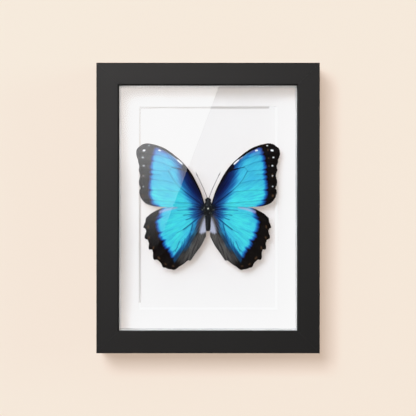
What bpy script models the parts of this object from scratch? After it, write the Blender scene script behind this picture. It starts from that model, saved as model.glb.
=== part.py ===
"""A framed butterfly specimen, at its real size.

A blue morpho, spread and pinned, in a black wooden shadow-box frame. The frame stands on its
bottom edge and faces -Y: X is its width, Y its depth and Z its height. The origin is on the
bottom edge, midway across the width and the depth.
"""

import math

import bmesh
import bpy
from mathutils import Matrix, Vector

MM = 0.001
GAP = 0.3 * MM                   # between pieces that touch in the real object

# Frame: a mitred moulding around a 130 x 180 mm sight opening
FRAME_WIDTH = 163.0 * MM
FRAME_HEIGHT = 212.0 * MM
FRAME_DEPTH = 38.0 * MM
RAIL_FACE = 16.5 * MM            # width of the rail seen from the front
REBATE = 6.2 * MM                # how far the glass and boards reach behind the lip
LIP = 4.5 * MM                   # thickness of the lip in front of the glass
OUTER_BEVEL = 0.5 * MM
INNER_CHAMFER = 1.0 * MM

# The stack in the rebate, from the front to the back
GLASS_THICKNESS = 2.0 * MM
SPACER_DEPTH = 16.0 * MM
SPACER_WIDTH = 6.0 * MM
MAT_THICKNESS = 1.5 * MM
WINDOW_WIDTH = 100.0 * MM        # the mat's opening, at its back edge
WINDOW_HEIGHT = 148.0 * MM
BOARD_THICKNESS = 5.0 * MM
PANEL_THICKNESS = 3.0 * MM
BOARD_CLEARANCE = 0.5 * MM       # around every board that drops into the rebate

# Framer's tabs, pressed into the rails over the back panel
TAB_LENGTH = 12.0 * MM
TAB_WIDTH = 9.0 * MM
TAB_THICKNESS = 0.8 * MM
TAB_SPACING_X = 74.0 * MM        # between the two tabs on the top rail, and on the bottom one
TAB_SPACING_Z = 104.0 * MM       # between the two tabs on each side rail

# Saw-tooth hanger and its nails
HANGER_LENGTH = 44.0 * MM
HANGER_HEIGHT = 9.0 * MM
HANGER_THICKNESS = 0.8 * MM
HANGER_RISE = 1.6 * MM           # how far the toothed middle stands off the panel
HANGER_BELOW_EDGE = 16.0 * MM    # from the panel's top edge to the hanger's middle
HANGER_FOOT = 9.0 * MM           # each flat end, as far as the raised middle
HANGER_SLOPE = 1.5 * MM          # length of the slope between them
TEETH = 9
TOOTH_DEPTH = 1.6 * MM
NAIL_SPACING = 37.0 * MM
NAIL_SHANK_R = 0.6 * MM
NAIL_HEAD_R = 1.6 * MM
NAIL_HEAD_THICKNESS = 0.5 * MM
NAIL_DEPTH = 2.0 * MM            # into the panel

# Butterfly, measured from the middle of the thorax, which is the pin's axis
THORAX_HALF_WIDTH = 2.95 * MM
THORAX_HALF_DEPTH = 2.6 * MM
THORAX_ABOVE_MAT = 8.0 * MM      # from the mat's face to the thorax's middle
WING_THICKNESS = 0.4 * MM
FOREWING_ABOVE_THORAX = 1.2 * MM     # from the thorax's middle to the forewing's upper face
ANTENNA_R = 0.25 * MM

# Insect pin
PIN_R = 0.25 * MM
PIN_HEAD_R = 0.6 * MM
PIN_STANDS = 1.6 * MM            # from the thorax's top to the middle of the head
PIN_IN_BOARD = 4.0 * MM
PIN_TAPER = 1.5 * MM             # length of the point

# Sides of the turned pieces, and segments in half a round end
SMALL_SIDES = 12
BODY_SIDES = 20
ROUND_STEPS = 8
SHARP_ANGLE = math.radians(40)

# Places that follow from the sizes above
Y_FRONT = -FRAME_DEPTH / 2
Y_BACK = FRAME_DEPTH / 2
Y_REBATE = Y_FRONT + LIP
Y_GLASS = Y_REBATE + GAP
Y_SPACER = Y_GLASS + GLASS_THICKNESS + GAP
Y_MAT = Y_SPACER + SPACER_DEPTH + GAP
Y_BOARD = Y_MAT + MAT_THICKNESS + GAP
Y_PANEL = Y_BOARD + BOARD_THICKNESS + GAP
Y_PANEL_BACK = Y_PANEL + PANEL_THICKNESS
Y_THORAX = Y_MAT - THORAX_ABOVE_MAT
Z_MIDDLE = FRAME_HEIGHT / 2
REBATE_WIDTH = FRAME_WIDTH - 2 * (RAIL_FACE - REBATE)
REBATE_HEIGHT = FRAME_HEIGHT - 2 * (RAIL_FACE - REBATE)
PIN_X = 0.0
PIN_Z = Z_MIDDLE - 0.4 * MM

# Wing outlines in millimetres: x away from the body's middle, z up from the pin
FOREWING_COSTA = [(3.7, 5.4), (5.7, 13.3), (10.7, 22.6), (17.8, 32.5), (27.0, 41.4), (36.3, 46.4),
                  (45.0, 48.3), (50.4, 46.0)]
FOREWING_VEIN_ENDS = [(52.8, 41.6), (51.7, 34.3), (50.7, 26.6), (50.7, 18.9), (50.6, 12.0), (48.0, 6.2)]
FOREWING_DORSUM = [(48.0, 6.2), (43.8, 3.2), (36.3, 1.5), (22.2, 1.2), (9.1, 0.9), (3.7, 0.9)]
HINDWING_COSTA = [(3.7, 0.5), (14.1, 1.9), (25.2, 1.4), (34.3, -0.6), (40.8, -4.4), (44.9, -7.7)]
HINDWING_VEIN_ENDS = [(44.9, -7.7), (46.4, -13.5), (45.6, -21.9), (42.7, -30.0), (39.1, -37.6),
                      (31.1, -43.8), (24.8, -45.2), (19.8, -42.6), (12.7, -38.4)]
HINDWING_DORSUM = [(12.7, -38.4), (8.7, -32.8), (4.9, -26.8), (2.3, -20.0), (2.3, -6.1), (3.7, -3.2)]
FOREWING_SCALLOP = 0.35          # depth of the margin's scoops between the vein ends
HINDWING_SCALLOP = 1.3

# Body profile: height above the pin, and radius as a share of the thorax's half width
BODY_PROFILE = [(7.9, 0.0), (7.6, 0.38), (6.8, 0.64), (5.7, 0.70), (4.9, 0.56), (4.2, 0.74),
                (2.2, 0.97), (0.0, 1.0), (-2.4, 0.95), (-4.2, 0.72), (-5.0, 0.56), (-6.6, 0.62),
                (-10.0, 0.60), (-13.6, 0.52), (-15.8, 0.40), (-16.8, 0.0)]


def clear_scene():
    for obj in list(bpy.data.objects):
        bpy.data.objects.remove(obj, do_unlink=True)


def material(name, color, roughness, metallic=0.0, transmission=0.0):
    made = bpy.data.materials.get(name)
    if made:
        return made
    made = bpy.data.materials.new(name)
    made.use_nodes = True
    shader = made.node_tree.nodes["Principled BSDF"]
    shader.inputs["Base Color"].default_value = (*color, 1.0)
    shader.inputs["Roughness"].default_value = roughness
    shader.inputs["Metallic"].default_value = metallic
    shader.inputs["Transmission Weight"].default_value = transmission
    return made


def black_paint():
    return material("black_paint", (0.03, 0.028, 0.027), 0.5)


def clear_glass():
    return material("clear_glass", (1.0, 1.0, 1.0), 0.02, transmission=1.0)


def white_card():
    return material("white_card", (0.9, 0.89, 0.87), 0.8)


def hardboard():
    return material("hardboard", (0.34, 0.2, 0.1), 0.75)


def steel():
    return material("steel", (0.6, 0.6, 0.58), 0.35, metallic=1.0)


def brass():
    return material("brass", (0.72, 0.52, 0.22), 0.35, metallic=1.0)


def wing_scales():
    return material("wing_scales", (0.03, 0.45, 0.75), 0.45)


def dark_fur():
    return material("dark_fur", (0.02, 0.02, 0.018), 0.9)


def add_object(name, bm, made_of, is_round=False):
    """Turn the mesh's faces outwards and put it in the scene under its own name."""
    bmesh.ops.recalc_face_normals(bm, faces=bm.faces)
    mesh = bpy.data.meshes.new(name)
    bm.to_mesh(mesh)
    bm.free()
    mesh.materials.append(made_of)
    if is_round:
        mesh.shade_smooth()
        mesh.set_sharp_from_angle(angle=SHARP_ANGLE)
    obj = bpy.data.objects.new(name, mesh)
    bpy.context.scene.collection.objects.link(obj)
    return obj


def join_loops(bm, loop_a, loop_b):
    """Quads between two loops that have the same number of vertices."""
    count = len(loop_a)
    for i in range(count):
        j = (i + 1) % count
        bm.faces.new((loop_a[i], loop_a[j], loop_b[j], loop_b[i]))


def loft(ends):
    """A solid between two flat loops of points."""
    bm = bmesh.new()
    first, last = [[bm.verts.new(point) for point in end] for end in ends]
    bm.faces.new(first)
    bm.faces.new(last)
    join_loops(bm, first, last)
    return bm


def plate(outline, y_front, y_back):
    """A flat plate that faces -Y, from an outline of (x, z) points."""
    return loft([[(x, y, z) for x, z in outline] for y in (y_front, y_back)])


def block(low, high):
    bm = bmesh.new()
    size = Vector(high) - Vector(low)
    middle = (Vector(high) + Vector(low)) / 2
    bmesh.ops.create_cube(bm, size=1.0, matrix=Matrix.Translation(middle) @ Matrix.Diagonal((*size, 1.0)))
    return bm


def rectangle(width, height, y):
    """The four corners of an upright rectangle around the middle of the frame."""
    corners = ((-1, -1), (1, -1), (1, 1), (-1, 1))
    return [(sx * width / 2, y, Z_MIDDLE + sz * height / 2) for sx, sz in corners]


def turned(profile, sides):
    """A solid turned about the Y axis from (y, radius) points that start and end on the axis."""
    bm = bmesh.new()
    verts = [bm.verts.new((radius, y, 0.0)) for y, radius in profile]
    edges = [bm.edges.new(pair) for pair in zip(verts, verts[1:])]
    bmesh.ops.spin(bm, geom=verts + edges, cent=(0, 0, 0), axis=(0, 1, 0), steps=sides,
                   angle=math.tau, use_merge=True)
    bmesh.ops.remove_doubles(bm, verts=bm.verts, dist=1e-6)
    return bm


def drill(obj, name, x, z, y_mouth, depth, radius):
    """A round blind hole, bored along +Y from a face at y_mouth, or along -Y if depth is below 0."""
    overshoot = -math.copysign(1.0 * MM, depth)
    y_low, y_high = sorted((y_mouth + overshoot, y_mouth + depth))
    cutter = add_object(name, turned([(y_low, 0.0), (y_low, radius), (y_high, radius), (y_high, 0.0)],
                               SMALL_SIDES), steel())
    cutter.location = (x, 0.0, z)
    cutter.hide_render = True
    cutter.display_type = 'WIRE'
    cut = obj.modifiers.new(name, 'BOOLEAN')
    cut.operation = 'DIFFERENCE'
    cut.solver = 'EXACT'
    cut.object = cutter


def smooth_run(points, steps):
    """Points along a smooth curve that passes through every given point."""
    run = []
    last = len(points) - 1
    for i in range(last):
        p0, p1, p2, p3 = (Vector(points[min(max(i + k, 0), last)]) for k in (-1, 0, 1, 2))
        for step in range(steps):
            t = step / steps
            run.append(0.5 * (2 * p1 + (p2 - p0) * t + (2 * p0 - 5 * p1 + 4 * p2 - p3) * t ** 2
                              + (3 * p1 - p0 - 3 * p2 + p3) * t ** 3))
    run.append(Vector(points[last]))
    return run


def scalloped_run(ends, scoop, lean, steps):
    """A wing margin: a scoop between each two vein ends, deepest at the share lean of the way."""
    run = []
    for start, end in zip(ends, ends[1:]):
        start, end = Vector(start), Vector(end)
        along = end - start
        inward = Vector((along.y, -along.x)).normalized()
        if inward.x > 0:
            inward = -inward
        for step in range(steps):
            t = step / steps
            depth = scoop * (math.sin(math.pi / 2 * t / lean) if t < lean
                             else math.cos(math.pi / 2 * (t - lean) / (1 - lean)))
            run.append(start + along * t + inward * depth)
    run.append(Vector(ends[-1]))
    return run


def joined(*runs):
    """One closed outline from runs that start where the one before ends."""
    outline = []
    for run in runs:
        for point in run:
            if not outline or (point - outline[-1]).length > 0.05:
                outline.append(point)
    if (outline[0] - outline[-1]).length < 0.05:
        outline.pop()
    return outline


def make_rails():
    """Four lengths of moulding, cut at 45 degrees, each with its rebate for the boards."""
    foot = RAIL_FACE - REBATE
    profile = [(OUTER_BEVEL, Y_FRONT), (0.0, Y_FRONT + OUTER_BEVEL), (0.0, Y_BACK - OUTER_BEVEL),
               (OUTER_BEVEL, Y_BACK), (foot, Y_BACK), (foot, Y_REBATE), (RAIL_FACE, Y_REBATE),
               (RAIL_FACE, Y_FRONT + INNER_CHAMFER), (RAIL_FACE - INNER_CHAMFER, Y_FRONT)]
    mitre_gap = GAP / 2 * math.sqrt(2)
    sides = [("bottom", 0, FRAME_WIDTH, FRAME_HEIGHT), ("right", 1, FRAME_HEIGHT, FRAME_WIDTH),
             ("top", 2, FRAME_WIDTH, FRAME_HEIGHT), ("left", 3, FRAME_HEIGHT, FRAME_WIDTH)]
    for side, quarter, length, across in sides:
        ends = [[(end * (length / 2 - inset - mitre_gap), y, inset - across / 2) for inset, y in profile]
                for end in (-1, 1)]
        bm = loft(ends)
        place = Matrix.Translation((0, 0, Z_MIDDLE)) @ Matrix.Rotation(-quarter * math.pi / 2, 4, 'Y')
        bmesh.ops.transform(bm, matrix=place, verts=bm.verts)
        add_object("frame_rail_" + side, bm, black_paint())


def make_glass():
    half_width = REBATE_WIDTH / 2 - BOARD_CLEARANCE
    half_height = REBATE_HEIGHT / 2 - BOARD_CLEARANCE
    add_object("glass_pane", block((-half_width, Y_GLASS, Z_MIDDLE - half_height),
                                   (half_width, Y_GLASS + GLASS_THICKNESS, Z_MIDDLE + half_height)),
               clear_glass())


def make_spacers():
    """Strips around the inside of the frame: two full-width ones, with two between them."""
    half_width = REBATE_WIDTH / 2 - GAP
    half_height = REBATE_HEIGHT / 2 - GAP
    y_back = Y_SPACER + SPACER_DEPTH
    for name, side in (("top", 1), ("bottom", -1)):
        z_outer, z_inner = side * half_height, side * (half_height - SPACER_WIDTH)
        low, high = sorted((z_outer, z_inner))
        add_object("spacer_" + name, block((-half_width, Y_SPACER, Z_MIDDLE + low),
                                           (half_width, y_back, Z_MIDDLE + high)), white_card())
    between = half_height - SPACER_WIDTH - GAP
    for name, side in (("right", 1), ("left", -1)):
        low, high = sorted((side * half_width, side * (half_width - SPACER_WIDTH)))
        add_object("spacer_" + name, block((low, Y_SPACER, Z_MIDDLE - between),
                                           (high, y_back, Z_MIDDLE + between)), white_card())


def make_mat():
    """The window mat: its window is cut at 45 degrees, so it is wider at the front."""
    width, height = REBATE_WIDTH - 2 * BOARD_CLEARANCE, REBATE_HEIGHT - 2 * BOARD_CLEARANCE
    y_back = Y_MAT + MAT_THICKNESS
    bevel = 2 * MAT_THICKNESS
    loops = [rectangle(width, height, Y_MAT),
             rectangle(WINDOW_WIDTH + bevel, WINDOW_HEIGHT + bevel, Y_MAT),
             rectangle(WINDOW_WIDTH, WINDOW_HEIGHT, y_back),
             rectangle(width, height, y_back)]
    bm = bmesh.new()
    rings = [[bm.verts.new(point) for point in loop] for loop in loops]
    for i, ring in enumerate(rings):
        join_loops(bm, ring, rings[(i + 1) % len(rings)])
    add_object("mat_board", bm, white_card())


def make_boards():
    """The backing board that holds the pin, and the back panel that closes the frame."""
    half_width = REBATE_WIDTH / 2 - BOARD_CLEARANCE
    half_height = REBATE_HEIGHT / 2 - BOARD_CLEARANCE
    backing = add_object("backing_board", block((-half_width, Y_BOARD, Z_MIDDLE - half_height),
                                                (half_width, Y_BOARD + BOARD_THICKNESS,
                                                 Z_MIDDLE + half_height)), white_card())
    drill(backing, "pin_hole", PIN_X, PIN_Z, Y_BOARD, PIN_IN_BOARD + GAP, PIN_R + GAP)
    panel = add_object("back_panel", block((-half_width, Y_PANEL, Z_MIDDLE - half_height),
                                           (half_width, Y_PANEL_BACK, Z_MIDDLE + half_height)), hardboard())
    for side, sign in (("left", -1), ("right", 1)):
        drill(panel, "nail_hole_" + side, sign * NAIL_SPACING / 2, hanger_middle(), Y_PANEL_BACK,
              -NAIL_DEPTH - GAP, NAIL_SHANK_R + GAP)


def make_tabs():
    """Two tabs on each rail: a straight tongue with a round end, flat against the panel."""
    half = TAB_WIDTH / 2
    straight = TAB_LENGTH - half
    tip = [(half * math.cos(angle), straight + half * math.sin(angle))
           for angle in (math.pi * step / ROUND_STEPS for step in range(ROUND_STEPS + 1))]
    outline = [(-half, 0.0), (half, 0.0)] + tip
    y_front = Y_PANEL_BACK + GAP
    sides = [("bottom", 0, REBATE_HEIGHT / 2, TAB_SPACING_X), ("right", 1, REBATE_WIDTH / 2, TAB_SPACING_Z),
             ("top", 2, REBATE_HEIGHT / 2, TAB_SPACING_X), ("left", 3, REBATE_WIDTH / 2, TAB_SPACING_Z)]
    for side, quarter, reach, spacing in sides:
        for index, offset in enumerate((-spacing / 2, spacing / 2), 1):
            bm = plate([(x + offset, z - reach + GAP) for x, z in outline], y_front, y_front + TAB_THICKNESS)
            place = Matrix.Translation((0, 0, Z_MIDDLE)) @ Matrix.Rotation(-quarter * math.pi / 2, 4, 'Y')
            bmesh.ops.transform(bm, matrix=place, verts=bm.verts)
            add_object("tab_%s_%d" % (side, index), bm, steel())


def hanger_middle():
    return Z_MIDDLE + REBATE_HEIGHT / 2 - HANGER_BELOW_EDGE


def make_hanger():
    """A steel strip with a toothed lower edge: its ends lie on the panel, its middle stands off."""
    half = HANGER_HEIGHT / 2
    toothed = HANGER_LENGTH / 2 - HANGER_FOOT
    end = HANGER_LENGTH / 2
    pitch = 2 * toothed / TEETH
    lower = []
    for tooth in range(TEETH):
        x = -toothed + tooth * pitch
        lower.append((x, -half))
        lower.append((x + pitch / 2, -half + TOOTH_DEPTH))
    lower.append((toothed, -half))
    sloped = toothed + HANGER_SLOPE
    stations = sorted({-end, -sloped, sloped, end} | {x for x, z in lower})
    bottom = dict(lower)
    y_panel = Y_PANEL_BACK + GAP
    bm = bmesh.new()
    sections = []
    for x in stations:
        y = y_panel + (HANGER_RISE if abs(x) <= toothed + 1e-9 else 0.0)
        low = bottom.get(x, -half)
        corners = ((y, low), (y, half), (y + HANGER_THICKNESS, half), (y + HANGER_THICKNESS, low))
        sections.append([bm.verts.new((x, corner_y, hanger_middle() + z)) for corner_y, z in corners])
    bm.faces.new(sections[0])
    bm.faces.new(sections[-1])
    for section, following in zip(sections, sections[1:]):
        join_loops(bm, section, following)
    hanger = add_object("sawtooth_hanger", bm, steel())
    for side, sign in (("left", -1), ("right", 1)):
        x = sign * NAIL_SPACING / 2
        y_back = y_panel + HANGER_THICKNESS
        drill(hanger, "hanger_hole_" + side, x, hanger_middle(), y_back, -HANGER_THICKNESS - MM,
              NAIL_SHANK_R + GAP)
        y_head = y_back + GAP
        y_tip = Y_PANEL_BACK - NAIL_DEPTH
        nail = turned([(y_tip, 0.0), (y_tip + NAIL_SHANK_R, NAIL_SHANK_R), (y_head, NAIL_SHANK_R),
                       (y_head, NAIL_HEAD_R), (y_head + NAIL_HEAD_THICKNESS, NAIL_HEAD_R * 0.8),
                       (y_head + NAIL_HEAD_THICKNESS, 0.0)], SMALL_SIDES)
        nail_object = add_object("hanger_nail_" + side, nail, steel(), is_round=True)
        nail_object.location = (x, 0.0, hanger_middle())


def make_pin():
    """The insect pin: a thin steel shank with a ball for a head."""
    y_head = Y_THORAX - THORAX_HALF_DEPTH - PIN_STANDS
    y_tip = Y_BOARD + PIN_IN_BOARD
    ball = [(y_head - PIN_HEAD_R * math.cos(angle), PIN_HEAD_R * math.sin(angle))
            for angle in (math.pi * step / ROUND_STEPS for step in range(ROUND_STEPS))]
    profile = ball + [(y_head + PIN_HEAD_R * 0.95, PIN_R), (y_tip - PIN_TAPER, PIN_R), (y_tip, 0.0)]
    pin = add_object("insect_pin", turned(profile, SMALL_SIDES), brass(), is_round=True)
    pin.location = (PIN_X, 0.0, PIN_Z)


def make_body():
    """Head, thorax and abdomen in one piece, a little flatter than round, bored for the pin."""
    profile = [(-height * MM, radius * THORAX_HALF_WIDTH) for height, radius in BODY_PROFILE]
    bm = turned(profile, BODY_SIDES)
    flatten = THORAX_HALF_DEPTH / THORAX_HALF_WIDTH
    upright = Matrix.Rotation(-math.pi / 2, 4, 'X')
    place = Matrix.Translation((PIN_X, Y_THORAX, PIN_Z)) @ Matrix.Diagonal((1.0, flatten, 1.0, 1.0)) @ upright
    bmesh.ops.transform(bm, matrix=place, verts=bm.verts)
    body = add_object("butterfly_body", bm, dark_fur(), is_round=True)
    bore = THORAX_HALF_DEPTH + MM
    drill(body, "body_bore", PIN_X, PIN_Z, Y_THORAX - bore, 2 * bore, PIN_R + GAP)


def make_wings():
    """Forewings in front, hindwings tucked behind their hind edge."""
    y_fore = Y_THORAX - FOREWING_ABOVE_THORAX
    y_hind = y_fore + WING_THICKNESS + GAP
    forewing = joined(smooth_run(FOREWING_COSTA + [FOREWING_VEIN_ENDS[0]], 4),
                      scalloped_run(FOREWING_VEIN_ENDS, FOREWING_SCALLOP, 0.5, 5),
                      smooth_run(FOREWING_DORSUM, 4))
    hindwing = joined(smooth_run(HINDWING_COSTA, 4),
                      scalloped_run(HINDWING_VEIN_ENDS, HINDWING_SCALLOP, 0.2, 5),
                      smooth_run(HINDWING_DORSUM, 4))
    for side, sign in (("left", -1), ("right", 1)):
        for name, outline, y in (("forewing_", forewing, y_fore), ("hindwing_", hindwing, y_hind)):
            placed = [(PIN_X + sign * point.x * MM, PIN_Z + point.y * MM) for point in outline]
            add_object(name + side, plate(placed, y, y + WING_THICKNESS), wing_scales())


def make_antennae():
    """Two thin rods from the head, swollen a little at the tip."""
    for side, sign in (("left", -1), ("right", 1)):
        curve = bpy.data.curves.new("antenna_" + side, 'CURVE')
        curve.dimensions = '3D'
        curve.bevel_depth = ANTENNA_R
        curve.bevel_resolution = 2
        curve.use_fill_caps = True
        curve.materials.append(dark_fur())
        route = smooth_run([(0.9, 8.4), (3.0, 14.4), (5.8, 20.6), (9.0, 26.6)], 5)
        spline = curve.splines.new('POLY')
        spline.points.add(len(route) - 1)
        for index, (point, place) in enumerate(zip(spline.points, route)):
            point.co = (PIN_X + sign * place.x * MM, Y_THORAX - 0.6 * MM, PIN_Z + place.y * MM, 1.0)
            point.radius = 1.0 if index < len(route) - 4 else 1.5
        obj = bpy.data.objects.new("antenna_" + side, curve)
        bpy.context.scene.collection.objects.link(obj)


clear_scene()
make_rails()
make_glass()
make_spacers()
make_mat()
make_boards()
make_tabs()
make_hanger()
make_pin()
make_body()
make_wings()
make_antennae()
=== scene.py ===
"""The looks of a framed butterfly specimen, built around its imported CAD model.

A blue morpho, spread and pinned, in a black wooden shadow box. X is the width, Y the depth, with
the glass towards -Y, and Z the height. Wing and body sizes are in millimetres from the pin.
"""

import math
import random

import bmesh
import bpy
import numpy as np
from mathutils import Matrix, Vector


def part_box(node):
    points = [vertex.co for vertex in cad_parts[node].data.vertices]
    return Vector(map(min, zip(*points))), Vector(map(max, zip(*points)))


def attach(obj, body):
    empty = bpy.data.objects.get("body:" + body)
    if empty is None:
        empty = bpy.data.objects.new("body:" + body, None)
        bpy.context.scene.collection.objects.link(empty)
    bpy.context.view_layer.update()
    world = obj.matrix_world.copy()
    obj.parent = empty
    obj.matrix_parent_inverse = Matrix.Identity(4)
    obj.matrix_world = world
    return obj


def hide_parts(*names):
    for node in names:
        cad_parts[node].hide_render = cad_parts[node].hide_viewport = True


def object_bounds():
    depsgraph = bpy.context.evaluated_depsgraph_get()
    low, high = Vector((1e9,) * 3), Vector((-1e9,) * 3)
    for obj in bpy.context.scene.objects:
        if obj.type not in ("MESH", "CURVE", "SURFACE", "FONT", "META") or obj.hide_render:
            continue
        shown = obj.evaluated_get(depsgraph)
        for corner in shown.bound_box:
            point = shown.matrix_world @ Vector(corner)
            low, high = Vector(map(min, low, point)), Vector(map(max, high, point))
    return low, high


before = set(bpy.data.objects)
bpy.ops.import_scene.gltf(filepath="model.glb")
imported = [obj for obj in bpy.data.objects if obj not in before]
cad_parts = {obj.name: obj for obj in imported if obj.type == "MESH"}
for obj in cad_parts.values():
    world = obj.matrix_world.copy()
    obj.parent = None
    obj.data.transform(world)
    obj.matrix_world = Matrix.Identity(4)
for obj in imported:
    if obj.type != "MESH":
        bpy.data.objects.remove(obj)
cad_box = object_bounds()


# Frame rails: four lengths of wooden moulding in satin black paint, cut at 45 degrees and glued at
# the corners. A lip holds the glass from the front, and the rebate behind it takes the boards. The
# paint softens every edge, and is thick enough to hide the joints.
MM = 0.001
RAIL_FACE = 16.5 * MM
REBATE = 6.2 * MM
LIP = 4.5 * MM
EDGE_ROUND = 0.5 * MM
LIP_ROUND = 1.0 * MM
ROUND_STEPS = 6
MITRE_GAP = 0.015 * MM
TINY = 1e-6
SHARP_ANGLE = math.radians(38)
MIDDLE_Z = (cad_box[0].z + cad_box[1].z) / 2


class Signal:
    """A node's socket, which Python's operators can do maths on."""

    def __init__(self, finish, socket):
        self.finish = finish
        self.socket = socket

    def __add__(self, other):
        return self.finish.maths('ADD', self, other)

    def __radd__(self, other):
        return self.finish.maths('ADD', other, self)

    def __sub__(self, other):
        return self.finish.maths('SUBTRACT', self, other)

    def __rsub__(self, other):
        return self.finish.maths('SUBTRACT', other, self)

    def __mul__(self, other):
        return self.finish.maths('MULTIPLY', self, other)

    def __rmul__(self, other):
        return self.finish.maths('MULTIPLY', other, self)


class Mixer:
    """The nodes of a material or of the studio's light, and the ways to add to them."""

    def __init__(self, tree):
        self.tree = tree

    def plug(self, value, socket):
        if isinstance(value, Signal):
            self.tree.links.new(value.socket, socket)
        else:
            socket.default_value = value

    def node(self, kind, settings, sockets, output=0):
        """Any node: its type, its settings, then the values or signals that go into it."""
        made = self.tree.nodes.new(kind)
        for name, value in settings.items():
            if name == "stops":
                ramp = made.color_ramp
                while len(ramp.elements) < len(value):
                    ramp.elements.new(1.0)
                for element, (place, colour) in zip(ramp.elements, value):
                    element.position = place
                    element.color = colour
            else:
                setattr(made, name, value)
        for name, value in sockets.items():
            self.plug(value, made.inputs[name])
        return Signal(self, made.outputs[output])

    def maths(self, operation, *terms):
        return self.node("ShaderNodeMath", {"operation": operation}, dict(enumerate(terms)))

    def noise(self, size, detail=3.0, stretch=(1.0, 1.0, 1.0)):
        """Soft random blotches of about the given size, from 0 to 1."""
        place = self.node("ShaderNodeTexCoord", {}, {}, "Object")
        place = self.node("ShaderNodeMapping", {}, {"Vector": place, "Scale": stretch})
        return self.node("ShaderNodeTexNoise", {},
                         {"Vector": place, "Scale": 1 / size, "Detail": detail})

    def step(self, value, low, high):
        """0 below low, 1 above high, and a smooth rise between them."""
        return self.node("ShaderNodeMapRange", {"interpolation_type": 'SMOOTHSTEP'},
                         {"Value": value, "From Min": low, "From Max": high})

    def blend(self, share, first, second):
        """A colour that goes from first to second as share goes from 0 to 1."""
        return self.node("ShaderNodeMix", {"data_type": 'RGBA'}, {0: share, 6: first, 7: second}, 2)


class Finish(Mixer):
    """A material with one shader, whose sockets take values or signals."""

    def __init__(self, name, roughness):
        self.material = bpy.data.materials.new(name)
        self.material.use_nodes = True
        super().__init__(self.material.node_tree)
        self.shader = self.tree.nodes["Principled BSDF"]
        self.shader.inputs["Roughness"].default_value = roughness

    def bump(self, height, depth, strength=1.0):
        """Raises the surface by up to depth where height is 1."""
        normal = self.node("ShaderNodeBump", {},
                           {"Height": height, "Distance": depth, "Strength": strength})
        self.plug(normal, self.shader.inputs["Normal"])

    def set(self, **sockets):
        """Sets the shader's sockets. A name's words are joined by underscores."""
        for name, value in sockets.items():
            self.plug(value, self.shader.inputs[name.replace("_", " ")])


def tone(code):
    """A colour from its usual six-digit code."""
    channels = [int(code[i:i + 2], 16) / 255 for i in (0, 2, 4)]
    return tuple(c / 12.92 if c < 0.0405 else ((c + 0.055) / 1.055) ** 2.4 for c in channels) + (1.0,)


def black_paint(name, along):
    """Satin paint over fine wood: faint grain runs along the rail, with a little orange peel."""
    finish = Finish(name, 0.35)
    grain = finish.noise(0.35 * MM, 4.0, stretch=along)
    peel = finish.noise(1.1 * MM, 2.0)
    wear = finish.noise(14 * MM, 3.0)
    finish.set(Base_Color=finish.blend(grain * 0.6 + wear * 0.4, tone("101010"), tone("161616")),
               Roughness=0.4 + 0.045 * wear + 0.02 * grain, Specular_IOR_Level=0.36,
               Specular_Tint=(1.0, 0.88, 0.8, 1.0))
    finish.bump(0.6 * grain + 0.4 * peel, 0.02 * MM, 0.5)
    return finish


def add_piece(name, bm, finishes, nodes):
    """Makes an object from a mesh, in place of CAD nodes and riding on the model's one body."""
    mesh = bpy.data.meshes.new(name)
    curved = [face.smooth for face in bm.faces]
    bm.to_mesh(mesh)
    bm.free()
    for finish in finishes:
        mesh.materials.append(finish.material)
    mesh.set_sharp_from_angle(angle=SHARP_ANGLE)
    mesh.polygons.foreach_set("use_smooth", curved)
    piece = bpy.data.objects.new(name, mesh)
    bpy.context.scene.collection.objects.link(piece)
    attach(piece, "root")
    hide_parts(*nodes)
    return piece


def make_rail(side, quarter, length, across, finish):
    """A length of moulding along X, rounded, cut at 45 degrees, then turned to its side."""
    y_front, y_back = cad_box[0].y, cad_box[1].y
    foot = RAIL_FACE - REBATE
    profile = [(0.0, y_front), (0.0, y_back), (foot, y_back), (foot, y_front + LIP),
               (RAIL_FACE, y_front + LIP), (RAIL_FACE, y_front)]
    bm = bmesh.new()
    end = bm.faces.new([bm.verts.new((-length / 2, y, inset - across / 2)) for inset, y in profile])
    moved = bmesh.ops.extrude_face_region(bm, geom=[end])["geom"]
    bmesh.ops.translate(bm, vec=(length, 0, 0),
                        verts=[part for part in moved if isinstance(part, bmesh.types.BMVert)])
    for corner, radius in ((0, EDGE_ROUND), (1, EDGE_ROUND), (2, EDGE_ROUND / 2),
                           (4, EDGE_ROUND / 2), (5, LIP_ROUND)):
        inset, y = profile[corner]
        edges = [edge for edge in bm.edges if all(
            abs(vert.co.y - y) < TINY and abs(vert.co.z - inset + across / 2) < TINY for vert in edge.verts)]
        bmesh.ops.bevel(bm, geom=edges, offset=radius, segments=ROUND_STEPS, profile=0.5, affect='EDGES',
                        material=-1)
    bm.normal_update()
    for face in bm.faces:
        face.smooth = max(abs(part) for part in face.normal) < 0.9999    # flat faces stay flat
    for sign in (-1, 1):
        cut = bmesh.ops.bisect_plane(bm, geom=bm.verts[:] + bm.edges[:] + bm.faces[:], dist=1e-7,
                                     plane_co=(sign * (length / 2 - MITRE_GAP), 0, -across / 2),
                                     plane_no=(sign, 0, 1), clear_outer=True)["geom_cut"]
        bmesh.ops.contextual_create(bm, geom=[part for part in cut if isinstance(part, bmesh.types.BMEdge)])
    place = Matrix.Translation((0, 0, MIDDLE_Z)) @ Matrix.Rotation(-quarter * math.pi / 2, 4, 'Y')
    bmesh.ops.transform(bm, matrix=place, verts=bm.verts)
    bmesh.ops.recalc_face_normals(bm, faces=bm.faces)
    add_piece("painted_rail_" + side, bm, [finish], ["frame_rail_" + side])


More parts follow.
